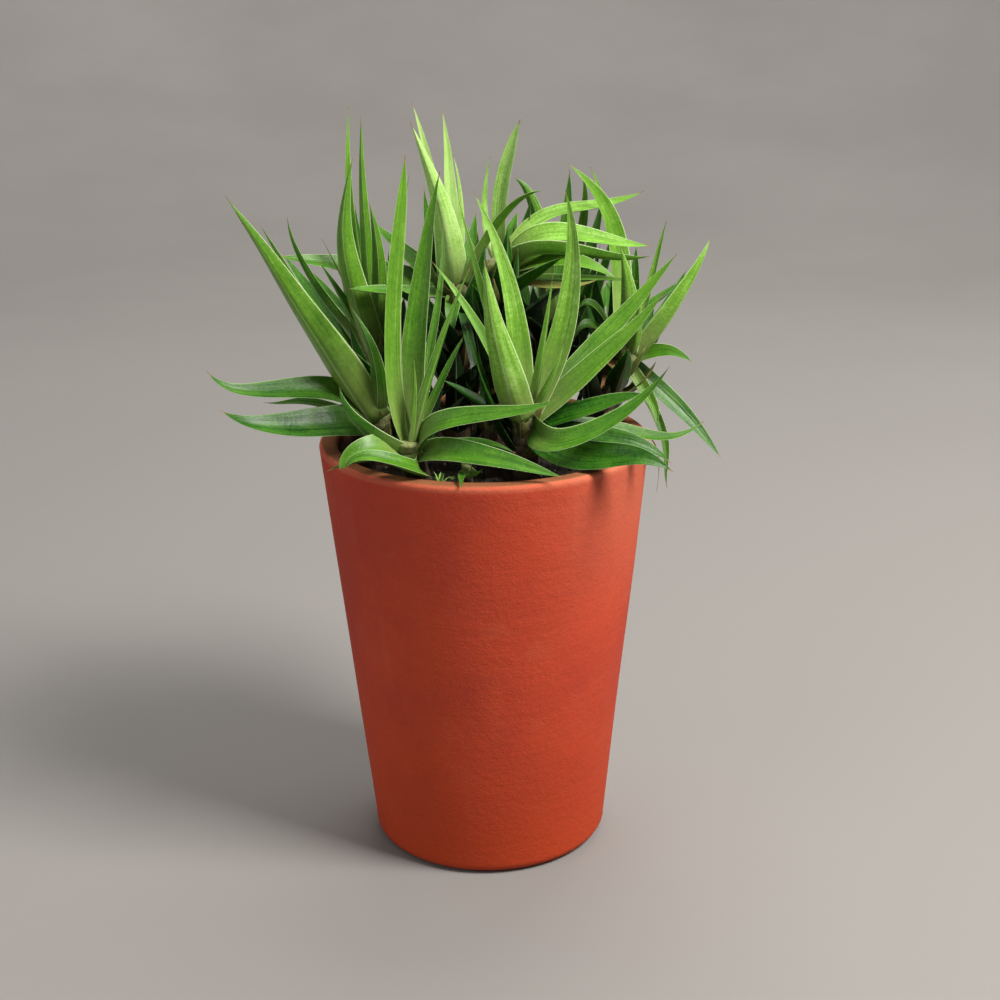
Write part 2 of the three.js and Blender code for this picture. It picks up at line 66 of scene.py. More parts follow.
# Each rosette: where its crown is, and its leaves.  A leaf's row holds its tip from the crown as
# x, y, z; one or two places that its centre line passes on the way there; its width; its roll
# about its length, in degrees; how full it stays towards the tip; how pale it is, which is partly
# painted light and shade, the high lit leaves paler and the low shaded ones deeper; and how dry
# it is, where it isn't fresh.
# Further leaves are spread by rules: two bearings from +X, where between them the first one
# stands, how many, how long and how wide they are, and two distances down the stem.  A rosette
# may also give its stem's radius, and its skirt: how long the dry feet of its fallen leaves are,
# in radii of the stem.
ROSETTES = {
    "rosette_front": dict(crown=(-22, -30, 138), leaves=[
        ((-18, -4, 17), [(-13, -4, 7)], 6.4, 40, 1.4, 0.2),
        ((-18, -12, -5), [(-8, -8, 1), (-15, -11, -1)], 8, -38, 1.8, 0.3),
        ((-17, -15, -5), [(4, -10, -5), (-7, -15, 0)], 7, -30, 1.8, 0.25),
        ((-22, -10, -6), [(-11, -6, -3)], 5, 0, 1.5, 0.15),
        ((2, 2, 80), [(-3, -2, 23), (-1, -1, 52)], 5.6, 85, 4.5, 0.45),
        ((3, 6, 75), [(-1, 3, 21), (0, 4, 51)], 3.6, 130, 1.6, 0.6),
        ((11, 13, 74), [(4, 9, 38)], 7.4, 30, 1.6, 0.3),
        ((11, 24, 57), [(9, 15, 34)], 2.8, 20, 1.3, 0.3),
        ((3, -3, 24), [(3, -2, 12)], 2, 0, 1.2, 0.6),
        ((19, 0, 49), [(9, -2, 25)], 3.4, -60, 1.3, 0.5),
        ((17, 10, 28), [(11, 8, 17)], 2.8, 30, 1.4, 0.3),
        ((43, -12, 15), [(11, -7, 8), (27, -11, 11)], 7.4, 38, 1.8, 0.2),
        ((44, -18, -6), [(14, -10, 0), (29, -15, -2)], 8.2, 38, 1.8, 0.15),
        ((31, -8, -2), [(18, -5, 1)], 4, 20, 1.8, 0.1),
    ], rules=[
        ((35, 135), 0.1, 3, 28, 5.5, (1, 7)),
    ]),
    "rosette_left": dict(crown=(-31, -5, 140), leaves=[
        ((-40, -13, 66), [(-21, -9, 35)], 12, 50, 1.05, 0.55),
        ((-33, 3, 55), [(-21, 2, 34)], 6, 45, 1.1, 0.35),
        ((-48, -17, 17), [(-16, -7, 9), (-34, -13, 10)], 8.4, -45, 1.7, 0.1),
        ((-43, -27, 8), [(-15, -15, 1), (-30, -21, 2)], 10.6, -45, 1.7, 0),
        ((-34, -5, 4), [(-18, -2, 3), (-26, -4, 4)], 4, -20, 1.6, 0.2),
        ((-7, -7, 33), [(0, -7, 16)], 5.6, 30, 1.3, 0.3),
    ], rules=[
        ((-20, 45), 0.47, 2, 27, 6.5, (2, 10)),
        ((105, 155), 0.38, 2, 39, 6, (0, 6)),
    ]),
    "rosette_centre": dict(crown=(12, -22, 144), leaves=[
        ((-11, -12, 46), [(-7, -11, 22)], 10, 30, 1.3, 0.8),
        ((-14, 8, 62), [(-3, 4, 31)], 7.2, -40, 1.4, 0.65),
        ((-18, 14, 58), [(-11, 8, 31)], 3.2, -35, 1.4, 0.4),
        ((-26, 8, 42), [(-12, 5, 22)], 3.8, -45, 1.6, 0.6),
        ((12, 8, 62), [(13, 6, 31)], 7.4, 45, 1.7, 0.6),
        ((8, -4, 40), [(5, -4, 20)], 3.2, -30, 1.3, 0.6),
        ((11, -6, 21), [(7, -5, 10)], 3.4, -30, 1.4, 0.7),
        ((45, 20, 41), [(26, 14, 21)], 7, 40, 1.6, 0.4),
        ((40, 4, 33), [(23, 2, 16)], 7.2, 45, 1.7, 0.45),
        ((40, -14, 16), [(10, -16, -4), (26, -16, 3)], 8, 38, 1.8, 0.15),
        ((34, -2, 5), [(22, 0, 2)], 7.2, 30, 1.7, 0.05),
        ((41, -21, -12.5), [(15, -12, -9.5), (28, -19, -8)], 10, 50, 1.9, 0),
        ((42, -6, -15), [(17, -4, -6), (31, -6, -8)], 7.5, 45, 1.8, 0.05),
        ((53, 10, -7), [(25, 6, -7), (40, 6, -10)], 4.8, 40, 1.9, 0.2),
        ((40, 16, -31), [(22, 12, -10), (37, 17, -13)], 1, 0, 4, 0.6, 1),
    ], rules=[
        ((10, 190), 0.9, 6, 28, 7, (1, 12)),
    ]),
    "rosette_inner": dict(crown=(2, -15, 142), stem=2, leaves=[
        ((-7, -1, 26), [(-2, -2, 11)], 3.5, -45, 1.4, 0.25),
        ((-7, 1, 9), [(-5, 1, 4)], 3.6, -45, 1.4, 0.3),
        ((-3, 3, 9), [(-2, 3, 4)], 3.6, 0, 1.4, 0.3),
    ]),
    "rosette_right": dict(crown=(45, 12, 154), skirt=2.4, leaves=[
        ((27, -12, -32), [(15, -6, -18)], 6, 40, 1.9, 0.05),
        ((18, -8, -3), [(9, -4, 0)], 5.8, 40, 1.8, 0.2),
        ((24, 2, 33), [(14, -2, 17)], 9, -40, 1.4, 0.7),
        ((11, 8, 37), [(7, 6, 22)], 2.8, 20, 1.4, 0.6),
        ((2, -10, 18), [(1, -8, 7)], 4.2, 0, 1.6, 0.65),
        ((-4, -6, 32), [(-1, -6, 17)], 8, 0, 1.3, 0.7),
        ((-19, 7, 55), [(-3, 9, 27), (-8, 9, 43)], 7.4, -40, 1.6, 0.42),
        ((-12, 12, 53), [(-6, 12, 34)], 2.8, -30, 1.5, 0.6),
        ((7, -12, -21), [(6, -8, -15)], 4, 40, 1.5, 0.4),
        ((10, -20, -39), [(9, -8, -23), (10, -16, -31)], 2.8, 40, 1.5, 0.15),
        ((-18, -6, 11), [(-11, -4, 14)], 5.2, -30, 1.5, 0.1, 0.25),
        ((-18, -10, 4), [(-12, -7, 9)], 6, -30, 1.5, 0.05, 0.25),
        ((-10, -8, -13), [(-6, -5, -5)], 5, -30, 1.5, 0.2, 0.9),
    ], rules=[
        ((105, 310), 0.59, 7, 29, 7, (4, 27)),
        ((45, 105), 0.89, 6, 40, 6.5, (0, 16)),
    ]),
    "rosette_top": dict(crown=(-8, 14, 176), skirt=2.4, leaves=[
        ((-12, 6, 51), [(-6, 6, 27)], 4.4, -40, 1.3, 0.95),
        ((-12, -8, 47), [(-3, -8, 20)], 9, 50, 1.3, 1),
        ((-3, 2, 49), [(-1, 2, 26)], 5.2, -40, 1.3, 1),
        ((0, -2, 37), [(2, -2, 19)], 3.8, 60, 1.3, 0.95),
        ((-54, -1, 7), [(-25, 9.5, 1)], 8.2, -35, 3, 0.2),
        ((-31, -16, 0), [(-18, -8, -2)], 5.6, -25, 2.4, 0.25),
        ((-1, -14, -15), [(-1, -10, -7)], 4.8, 0, 2.6, 0.4),
        ((26, -10, 27), [(14, -6, 20)], 6, 0, 1.9, 0.5),
        ((4, -22, -27), [(5, -19, -20)], 3, 0, 2, 0.2),
    ], rules=[
        ((190, 330), 0.24, 8, 34, 8, (7, 50)),
        ((65, 140), 0.98, 7, 42, 7.5, (0, 34)),
    ]),
    "rosette_twin": dict(crown=(4, 17, 181), skirt=2.4, leaves=[
        ((8, 1, 41), [(2, 1, 20)], 4.8, 60, 4, 0.85),
        ((-1, 11, 29), [(-3, 9, 13)], 2.8, 30, 1.6, 0.7),
        ((47, -5, 4), [(14, -3, 8), (30, -4, 7)], 8.4, 35, 2.2, 0.6),
        ((46, -11, 2), [(13, -9, 5), (30, -9, 3)], 7.2, -40, 2.2, 0.45),
        ((36, -15, -4), [(19, -11, 2)], 8, 30, 2, 0.4),
        ((43, -9, -6), [(15, -5, -5), (30, -7, -5)], 4, 20, 1.8, 0.35),
        ((46, 11, 18), [(14, 7, 11), (29, 11, 14)], 5.4, 30, 3, 0.6),
        ((31, -17, -3), [(19, -13, -6)], 3.4, 30, 1.5, 0.8, 0.6),
    ], rules=[
        ((245, 320), 0.93, 7, 33, 7, (5, 52)),
        ((-15, 80), 0.96, 4, 35, 7, (0, 31)),
    ]),
    "rosette_back_left": dict(crown=(-33, 20, 153), skirt=2.4, leaves=[
        ((-24, -14, 43), [(-18, -10, 24)], 4.6, 20, 1.3, 0.25),
        ((-15, -16, 30), [(-8, -10, 16)], 4.4, 20, 1.3, 0.25),
        ((-15, -6, 35), [(-7, -4, 17)], 2.4, 20, 1.3, 0.3, 0.4),
        ((-4, -15, 60), [(-5, -13, 22), (-7, -15, 40)], 8.6, 0, 1.4, 0.55),
        ((-6, 2, 73), [(-6, -3, 37)], 4.4, -30, 1.7, 0.5),
        ((-2, -4, 71), [(-2, -4, 36)], 4.2, 30, 1.6, 0.5),
        ((0, -10, 46), [(2, -9, 28)], 5.2, 0, 1.5, 0.45),
    ], rules=[
        ((-135, 10), 0.94, 7, 33, 9, (4, 23)),
        ((85, 140), 0.7, 8, 48, 7, (0, 16)),
    ]),
    "rosette_rear": dict(crown=(22, 34, 155), skirt=2.4, leaves=[
        ((9, -4, 48), [(9, -2, 32)], 4.8, 70, 1.6, 0.5),
        ((-12, -2, 48), [(-4, 0, 33)], 5.4, 75, 1.8, 0.4),
    ], rules=[
        ((180, 320), 0.6, 6, 29, 9, (3, 20)),
        ((15, 135), 0.6, 10, 54, 8, (0, 20)),
        ((210, 330), 0.35, 2, 43, 7.5, (0, 8)),
    ]),
    "offset": dict(crown=(-5, -35, 132), stem=1.6, leaves=[
        ((-1, -16, -2), [(-1, -9, 0)], 2.6, 0, 1.6, 0.15),
        ((5, -7, 1), [(2, -6, -1)], 3.6, 30, 1.6, 0.2),
        ((2, 5, 3), [(1, 2, 2)], 2.6, 0, 1.4, 0.2),
        ((-3, 2, 3), [(-1, 1, 1)], 2.4, 0, 1.4, 0.3),
    ]),
}
PALE_ROSETTES = ("rosette_top", "rosette_twin", "rosette_back_left", "rosette_rear")

# A leaf's root, thickness and channel, in shares of its width; its widest place and the start of
# the hair that ends it, in shares of its length; and the hair's radius and the least half width.
ROOT_WIDTH = 0.92
THICKNESS = 0.4
CHANNEL = 0.15
WIDEST = 0.22
HAIR_START = 0.9
HAIR_RADIUS = 0.16
NARROWEST = 0.07

# Where a leaf is rooted, in radii of its stem: how far out, how far below its place, and how much
# further below it where it lies level.
ROOT_OUT = 0.33
ROOT_SINK = 0.3
ROOT_DROP = 0.9

# The leaves that stand by a rule: how steeply they stand in turn, in degrees, their proportions,
# and how pale they are beside the other leaves, less for each millimetre down the stem.  Their
# loss and fall are painted shade, for these leaves stand low and in the gaps of the clump.
HIDDEN_LIFTS = (22, 58, 38, 72)
LIFT_SCATTER = 6
LENGTH_SCATTER = 0.12
ROLL_SCATTER = 10
HIDDEN_ROOT_WIDTH = 0.5
HIDDEN_BULGE = 0.07
HIDDEN_FULLNESS = 1.5
HIDDEN_TONE = 0.7
HIDDEN_SHADE_LOSS = 0.08
HIDDEN_SHADE_FALL = 0.01
HIDDEN_TONE_SCATTER = 0.12
GOLDEN_SHARE = 0.618

# Painted shade: leaves are darker deep in the clump, near the upright line through its middle and
# low down.
SHADE_MIDDLE = (4, 8)
SHADE_REACH = 34
SHADE_TOP = 178
SHADE_DEPTH = 0.85

# Teeth stand on blades at least this wide, over this share of their length from this start.
TOOTHED_WIDTH = 2.5
TEETH_START = 0.1
TEETH_SHARE = 0.82

# A stem stands upright in the soil and leans to its crown above it.
STEM_RADIUS = 4
STEM_DEPTH = 8.7
STEM_UPRIGHT = 2.5
STEM_REACH = 32
STEM_DOME = 0.94
SCAR_STEP = 2.6
SHEATH_STEP = 2.1
SHEATH_ROWS = 8
SKIRT = 1.2

# The soil: a plug that stands clear of the wall by a gap.  Its top swells to the middle and has
# ripples, each with its depth, its size and its seed.
SOIL_TOP = 122
SOIL_GAP = 0.3
SOIL_SWELL = 1.2
SOIL_SINK = 0.6
SOIL_RIPPLES = ((0.7, 17, 11), (0.35, 5, 12), (0.2, 2, 13))
SOIL_RINGS = 80
GRAIN_SEED = 21
GRAIN_MARGIN = 1.2
GRIT_FROM = 0.93

# The pot's roundings, the slow wear of its wall, and its drain holes.
FOOT_ROUND = 3.5
RIM_ROUND = 1.3
LIP_ROUND = 1.5
DEEPEST_WEAR = 0.3
WEAR_SIZE = 42
WEAR_SEED = 5
DRAIN_COUNT = 3
DRAIN_RADIUS = 4
DRAIN_CIRCLE = 17

# The sprouts on the soil at the front left: where each stands, its blades, their length and
# width, how steeply the first one stands, in degrees, and how pale they are.
SPROUTS = {
    "seedling": ((-13, -23), 6, 4.5, 1.3, 40, 0.8),
    "star_sprout": ((-9.6, -18), 7, 1.3, 0.5, 20, 1.0),
}
SPROUT_ROWS = 12

# The studio, in metres.  The backdrop is a round floor that curves up into a wall.  Each light:
# its direction from the plant's middle, its distance, its size, its colour, and whether it gleams
# on what is glossy.
FLOOR_REACH = 0.9
BEND_RADIUS = 1.5
WALL_TOP = 2.6
FLOOR_DROP = 0.0003
BACKDROP_SIDES = 96
PLANT_MIDDLE = (0, 0, 0.12)
LIGHTS = {
    "key": ((0.75, -0.42, 0.95), 0.95, 0.33, (1.0, 0.97, 0.93), True),
    "fill": ((-0.9, -0.55, 0.35), 1.1, 0.8, (0.92, 0.95, 1.0), True),
    "crown": ((0.1, 0.5, 1.0), 0.8, 0.5, (1.0, 1.0, 0.96), False),
}
SURROUNDINGS = (0.86, 0.845, 0.82, 1)
SURROUNDINGS_STRENGTH = 0.54

# What every point carries for its finish: its place across a blade from -1 to 1 and along it
# from 0 to 1, 1 on the upper face and 0 below, how pale, which on leaves is partly painted light
# and shade, how dry, and a number of its leaf's own.
LOOKS = ("across", "along", "face", "tone", "dry", "seed")


# ---------------------------------------------------------------- settings


def colour_property(name, where, default):
    return FloatVectorProperty(name=name, description=f"Colour of {where}", default=default,
                               subtype="COLOR", min=0, max=1)


def length_property(name, description, default, digits=3):
    return FloatProperty(name=name, description=description, default=default, unit="LENGTH",
                         precision=digits)


def power_property(name, description, default):
    return FloatProperty(name=name, description=description, default=default, unit="POWER")


class HaworthiaPotSettings(bpy.types.PropertyGroup):
    """The clay pot's sizes and colours."""

    rim_radius: length_property("Rim radius", "Radius of the pot at its rim", POT_CORNER.x)
    foot_radius: length_property("Foot radius", "Radius of the pot at its foot", 0.037)
    height: length_property("Height", "Height of the pot", POT_CORNER.z)
    wall: length_property("Wall", "Thickness of the pot's wall", 0.0055, 4)
    floor: length_property("Floor", "Thickness of the pot's floor", 0.007)
    sides: IntProperty(name="Sides", description="Steps round the pot", default=192, min=24)
    clay: colour_property("Clay", "the fired clay", (0.42, 0.044, 0.014))
    dark: colour_property("Dark clay", "the darker clouds", (0.32, 0.030, 0.015))
    # painted shade: a less blue red near the foot, for the weak light that a dark floor gives back
    low: colour_property("Low clay", "the wall near the foot", (0.40, 0.038, 0.004))
    # the pale dusty colour of worn edges, also used as a painted sheen on the pot's right side
    dust_and_sheen: colour_property("Dusty clay", "the worn edges", (0.62, 0.23, 0.12))
    stain: colour_property("Stain", "the weathered lip", (0.19, 0.070, 0.024))
    # the inner wall below the rim: damp, and painted shade of the pot's hollow
    damp: colour_property("Damp clay", "the inner wall", (0.040, 0.018, 0.010))


class HaworthiaLeafSettings(bpy.types.PropertyGroup):
    """How finely the leaves are made, and their colours."""

    rows: IntProperty(name="Rows", description="Sections along a leaf", default=30, min=8)
    tooth: length_property("Tooth", "How far a margin tooth stands out", 0.00010, 5)
    tooth_step: length_property("Tooth spacing", "Distance between teeth", 0.0012, 4)
    # painted shade: the near-black green of leaves deep in the clump
    shade: colour_property("Shade", "a leaf deep in the clump", (0.003, 0.012, 0.001))
    # deep, pale and palest green follow the tone, which also paints light: low leaves deeper, high
    # lit ones paler
    deep: colour_property("Deep green", "a low leaf", (0.010, 0.078, 0.001))
    pale: colour_property("Pale green", "a young high leaf", (0.185, 0.405, 0.028))
    lit: colour_property("Palest green", "the palest leaves and streaks", (0.44, 0.63, 0.22))
    foot: colour_property("Leaf foot", "a leaf near its stem", (0.23, 0.28, 0.09))
    edge: colour_property("Margin", "margins, keels and teeth", (0.50, 0.62, 0.32))
    withered: colour_property("Withered", "dry leaves and tips", (0.24, 0.12, 0.045))
    # a real brown, kept dark as painted shade, for the stems stand deep in the clump
    bark: colour_property("Stem", "the old stems", (0.085, 0.055, 0.026))


class HaworthiaSoilSettings(bpy.types.PropertyGroup):
    """The potting soil's grains and colours."""

    grains: IntProperty(name="Grains", description="Loose grains on the soil", default=1500, min=0)
    dark: colour_property("Dark", "the soil in its hollows", (0.008, 0.006, 0.004))
    light: colour_property("Light", "the soil's crumbs", (0.055, 0.036, 0.022))
    grit: colour_property("Grit", "the pale mineral grains", (0.42, 0.38, 0.31))


class HaworthiaStageSettings(bpy.types.PropertyGroup):
    """Where the camera stands, and the studio's lights and backdrop."""

    eye: FloatVectorProperty(name="Camera", description="Where the camera stands",
                             default=(0.0045, -0.4908, 0.2775), subtype="XYZ", unit="LENGTH")
    pitch: FloatProperty(name="Pitch", description="How far the camera looks down",
                         default=math.radians(18.93), subtype="ANGLE")
    roll: FloatProperty(name="Roll", description="How far the camera leans to one side",
                        default=math.radians(-0.75), subtype="ANGLE")
    lens: FloatProperty(name="Lens", description="Focal length on a 36 mm frame", default=60.73,
                        unit="CAMERA")
    key: power_property("Key light", "Power of the main light", 18.0)
    fill: power_property("Fill light", "Power of the weak light on the left", 3.0)
    crown: power_property("Crown light", "Power of the light over the leaves", 5.0)
    floor: colour_property("Floor", "the floor under the pot", (0.215, 0.205, 0.195))
    wall: colour_property("Wall", "the wall", (0.68, 0.654, 0.63))


# ---------------------------------------------------------------- meshes


class Patch:
    """A piece of surface in millimetres: its points, its faces as arrays of point numbers with
    the number of their material, and the looks that each point carries."""

    def __init__(self, points, faces, finish=0, **looks):
        self.points = np.asarray(points, float).reshape(-1, 3)
        self.faces = [(face, finish) for face in faces]
        count = len(self.points)
        self.looks = {name: np.broadcast_to(np.ravel(looks.get(name, 0.0)), (count,))
                      for name in LOOKS}


def join(patches):
    """One patch out of many, each one's point numbers moved on past the points before it."""
    starts = np.cumsum([0] + [len(patch.points) for patch in patches])
    whole = Patch(np.concatenate([patch.points for patch in patches]), [])
    whole.faces = [(face + start, finish) for patch, start in zip(patches, starts)
                   for face, finish in patch.faces]
    whole.looks = {name: np.concatenate([patch.looks[name] for patch in patches]) for name in LOOKS}
    return whole


def put_mesh(name, patch, materials):
    """Makes the object of a patch, in metres, with its looks as attributes of its points."""
    corners = np.concatenate([face.ravel() for face, _ in patch.faces])
    sizes = np.concatenate([np.full(len(face), face.shape[1]) for face, _ in patch.faces])
    finishes = np.concatenate([np.full(len(face), finish) for face, finish in patch.faces])
    mesh = bpy.data.meshes.new(name)
    mesh.vertices.add(len(patch.points))
    mesh.vertices.foreach_set("co", (patch.points * MM).astype(np.float32).ravel())
    mesh.loops.add(len(corners))
    mesh.loops.foreach_set("vertex_index", corners.astype(np.int32))
    mesh.polygons.add(len(sizes))
    mesh.polygons.foreach_set("loop_start", (np.cumsum(sizes) - sizes).astype(np.int32))
    mesh.polygons.foreach_set("material_index", finishes.astype(np.int32))
    for look in LOOKS:
        layer = mesh.attributes.new(look, "FLOAT", "POINT")
        layer.data.foreach_set("value", patch.looks[look].astype(np.float32))
    mesh.update(calc_edges=True)
    mesh.shade_smooth()
    for material in materials:
        mesh.materials.append(material)
    made = bpy.data.objects.new(name, mesh)
    bpy.context.scene.collection.objects.link(made)
    return made


def place_piece(piece, slot, *nodes):
    """The piece rides on the one body and stands for its nodes, whose parts it hides.  Its slot is
    not used.
    """
    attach(piece, BODY)
    if nodes:
        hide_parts(*nodes)


def grid_faces(rows, across):
    """Quads between closed rings of `across` points each."""
    ring, i = np.meshgrid(np.arange(rows - 1), np.arange(across), indexing="ij")
    a = ring * across + i
    b = ring * across + (i + 1) % across
    return np.stack([a, b, b + across, a + across], -1).reshape(-1, 4)


def fan_faces(centre, first, across):
    """Triangles from the point `centre` to the closed ring that starts at the point `first`."""
    i = np.arange(across)
    return np.stack([np.full(across, centre), first + i, first + (i + 1) % across], -1)


def tube(rings, finish=0, **looks):
    """Closed rings, as rows by points by 3, skinned and closed by a point at either end.  The
    rings turn to the left round the way they advance, so that the skin faces out."""
    rows, across, _ = rings.shape
    points = np.concatenate([rings.reshape(-1, 3), [rings[0].mean(0), rings[-1].mean(0)]])
    last = rows * across
    faces = [grid_faces(rows, across), fan_faces(last, 0, across)[:, ::-1],
             fan_faces(last + 1, last - across, across)]
    spread = {}
    for name, value in looks.items():
        if np.size(value) > 1:
            full = np.broadcast_to(value, (rows, across))
            value = np.concatenate([full.ravel(), [full[0].mean(), full[-1].mean()]])
        spread[name] = value
    return Patch(points, faces, finish, **spread)


def ripple(points, size, seed):
    """A smooth number from about -1 to 1 at each point: five crossed waves, each about `size`
    long, whose directions and phases are drawn from the seed."""
    draw = np.random.default_rng(seed)
    way = draw.normal(size=(5, points.shape[-1]))
    way /= np.linalg.norm(way, axis=1, keepdims=True)
    pace = 2 * math.pi / (size * draw.uniform(0.7, 1.5, 5))
    return np.sin(points @ (way * pace[:, None]).T + draw.uniform(0, 6.3, 5)).sum(-1) / 2.5


# ---------------------------------------------------------------- plant


class Leaf(NamedTuple):
    """What a leaf is made from: its place on its stem, its row, and a number of its own."""

    base: np.ndarray
    axis: np.ndarray
    stem: float
    tip: np.ndarray
    passing: np.ndarray
    width: float
    roll: float
    tone: float
    seed: float
    dry: float = 0
    fullness: float = 1.6
    root_width: float = ROOT_WIDTH


def bearing(degrees):
    angle = math.radians(degrees)
    return np.array([math.cos(angle), math.sin(angle), 0.0])


def scatter(count):
    """A number from -1 to 1 that scatters evenly as the count goes up."""
    return 2 * ((count * GOLDEN_SHARE) % 1) - 1


def unit(vectors):
    return vectors / np.linalg.norm(vectors, axis=-1, keepdims=True)


def stem_foot(crown):
    """Where a stem leaves the soil: under its crown, or nearer the middle to be off the wall."""
    share = min(1, STEM_REACH / math.hypot(crown[0], crown[1]))
    return np.array([crown[0] * share, crown[1] * share, SOIL_TOP])


def ruled_rows(rule, axis, tone):
    """The rows of the leaves of a rule, each with its shift down the stem.  The lower one stands,
    the darker it is."""
    (start, end), first, count, length, width, (high, low) = rule
    rows = []
    for i in range(count):
        outward = bearing(start + (end - start) * ((first + i * GOLDEN_SHARE) % 1))
        lift = math.radians(HIDDEN_LIFTS[i % len(HIDDEN_LIFTS)] + LIFT_SCATTER * scatter(2 * i + 1))
        reach = length * (1 + LENGTH_SCATTER * scatter(3 * i + 2))
        tip = outward * reach * math.cos(lift) + np.array([0, 0, reach * math.sin(lift)])
        belly = 0.5 * tip + HIDDEN_BULGE * reach * outward
        down = high + (low - high) * (i + 0.5) / count
        # painted shade: the lower a ruled leaf stands on the stem, the darker it is
        paleness_and_shade = (HIDDEN_TONE * tone - HIDDEN_SHADE_FALL * down - HIDDEN_SHADE_LOSS
                    + HIDDEN_TONE_SCATTER * scatter(5 * i))
        row = (tip, [belly], width, ROLL_SCATTER * scatter(i), HIDDEN_FULLNESS, paleness_and_shade)
        rows.append((row, -down * axis, HIDDEN_ROOT_WIDTH))
    return rows


def rosette_leaves(rosette):
    """Every leaf of a rosette, those of its rules after its own."""
    crown = np.array(rosette["crown"], float)
    axis = unit(crown - stem_foot(crown))
    rows = [(row, np.zeros(3), ROOT_WIDTH) for row in rosette["leaves"]]
    tone = np.mean([row[5] for row in rosette["leaves"]])
    for rule in rosette.get("rules", ()):
        rows += ruled_rows(rule, axis, tone)
    leaves = []
    for i, (row, shift, root_width) in enumerate(rows):
        tip, passing, width, roll, fullness, tone, *dry = row
        leaves.append(Leaf(
            crown + shift, axis, rosette.get("stem", STEM_RADIUS), np.array(tip, float),
            np.array(passing, float), width, roll, tone,
            (i * GOLDEN_SHARE + crown[0] * 0.137) % 1, sum(dry), fullness, root_width))
    return leaves


def leaf_line(leaf, s):
    """The centre line and its directions at the shares s of its length.

    The line is the cubic from root to tip that passes the leaf's own places, one half way along
    or two at thirds.  The side direction is level, square to the reach and turned by the roll;
    the upper direction is the line's own direction crossed with it.
    """
    base, reach = leaf.base, leaf.tip
    lift = max(reach[2] / np.linalg.norm(reach), 0)
    root = base + unit(reach * [1, 1, 0]) * ROOT_OUT * leaf.stem
    root = root - leaf.axis * leaf.stem * (ROOT_SINK + ROOT_DROP * (1 - lift))
    tip = base + reach
    places = base + leaf.passing
    if len(places) == 1:
        control = 2 * places[0] - 0.5 * root - 0.5 * tip
        first, second = (root + 2 * control) / 3, (tip + 2 * control) / 3
    else:
        near, far = places
        first = 3 * near - 1.5 * far - 5 / 6 * root + tip / 3
        second = 3 * far - 1.5 * near - 5 / 6 * tip + root / 3
    t = s[:, None]
    centre = ((1 - t) ** 3 * root + 3 * t * (1 - t) ** 2 * first
              + 3 * t ** 2 * (1 - t) * second + t ** 3 * tip)
    along = unit((1 - t) ** 2 * (first - root) + 2 * t * (1 - t) * (second - first)
                 + t ** 2 * (tip - second))
    chord = unit(tip - root)
    level = np.array([-reach[1], reach[0], 0.0])
    level = unit(level - chord * (level @ chord))
    angle = math.radians(leaf.roll)
    level = level * math.cos(angle) + np.cross(chord, level) * math.sin(angle)
    side = unit(level - along * (along @ level)[:, None])
    sway = 0.02 * leaf.width * np.sin(9 * s + 17 * leaf.seed) * np.sin(math.pi * s)
    return centre + side * sway[:, None], along, side, np.cross(along, side)


def half_width(leaf, s):
    """Half of the blade's width: it swells from the root to its widest place by a quarter sine,
    then narrows by a power of the rest of the length, and ends as a fine hair."""
    root = leaf.root_width
    swelling = root + (1 - root) * np.sin(0.5 * math.pi * np.minimum(s / WIDEST, 1))
    rest = np.clip((s - WIDEST) / (1 - WIDEST), 0, 1)
    share = np.where(s < WIDEST, swelling, 1 - rest ** leaf.fullness)
    ending = np.clip((s - HAIR_START) / (1 - HAIR_START), 0, 1)
    hair = HAIR_RADIUS * (1.5 - ending) * ending
    blade = 0.5 * leaf.width * share * (1 - 0.35 * ending)
    return np.maximum(blade, np.maximum(hair, NARROWEST))


# The section of a blade: its places across the upper face from right to left, then back under
# the keel, in shares of the half width.
UPPER = np.cos(np.linspace(0, math.pi, 10))
LOWER = -np.cos(np.linspace(0, math.pi, 13))[1:-1]
SECTION = np.concatenate([UPPER, LOWER])
ON_TOP = np.arange(len(SECTION)) < len(UPPER)


def leaf_patch(leaf, rows):
    """One leaf: at each place along it, a section the half width to either side.

    With x from -1 to 1 across, the upper face dips in the middle by CHANNEL of the width times
    1 - |x| ** 1.25, between two soft swellings.  The lower face bellies to its keel by THICKNESS
    of the width times (1 - |x| ** 1.35) ** 0.9.  The rows stand closer towards the tip.  The
    tone falls with the depth in the clump.
    """
    s = 1 - (1 - np.linspace(0, 1, rows)) ** 1.15
    centre, along, side, upper = leaf_line(leaf, s)
    half = half_width(leaf, s)[:, None, None]
    x = np.abs(SECTION)
    dip = 0.04 * np.sin(math.pi * x) ** 2 - 2 * CHANNEL * (1 - x ** 1.25)
    keel = -2 * THICKNESS * (1 - np.minimum(x, 1) ** 1.35) ** 0.9
    lift = np.where(ON_TOP, dip, keel)
    rings = (centre[:, None] + side[:, None] * half * SECTION[:, None]
             + upper[:, None] * half * lift[:, None])
    # painted shade: the tone falls near the clump's middle and low down
    outward = np.linalg.norm(rings[..., :2] - SHADE_MIDDLE, axis=-1)
    inside = np.clip(1.25 - outward / SHADE_REACH, 0, 1)
    inside *= np.clip((SHADE_TOP - rings[..., 2]) / SHADE_REACH, 0, 1)
    return tube(rings, across=SECTION, along=s[:, None], face=ON_TOP.astype(float),
                tone=leaf.tone - SHADE_DEPTH * inside, dry=leaf.dry, seed=leaf.seed)


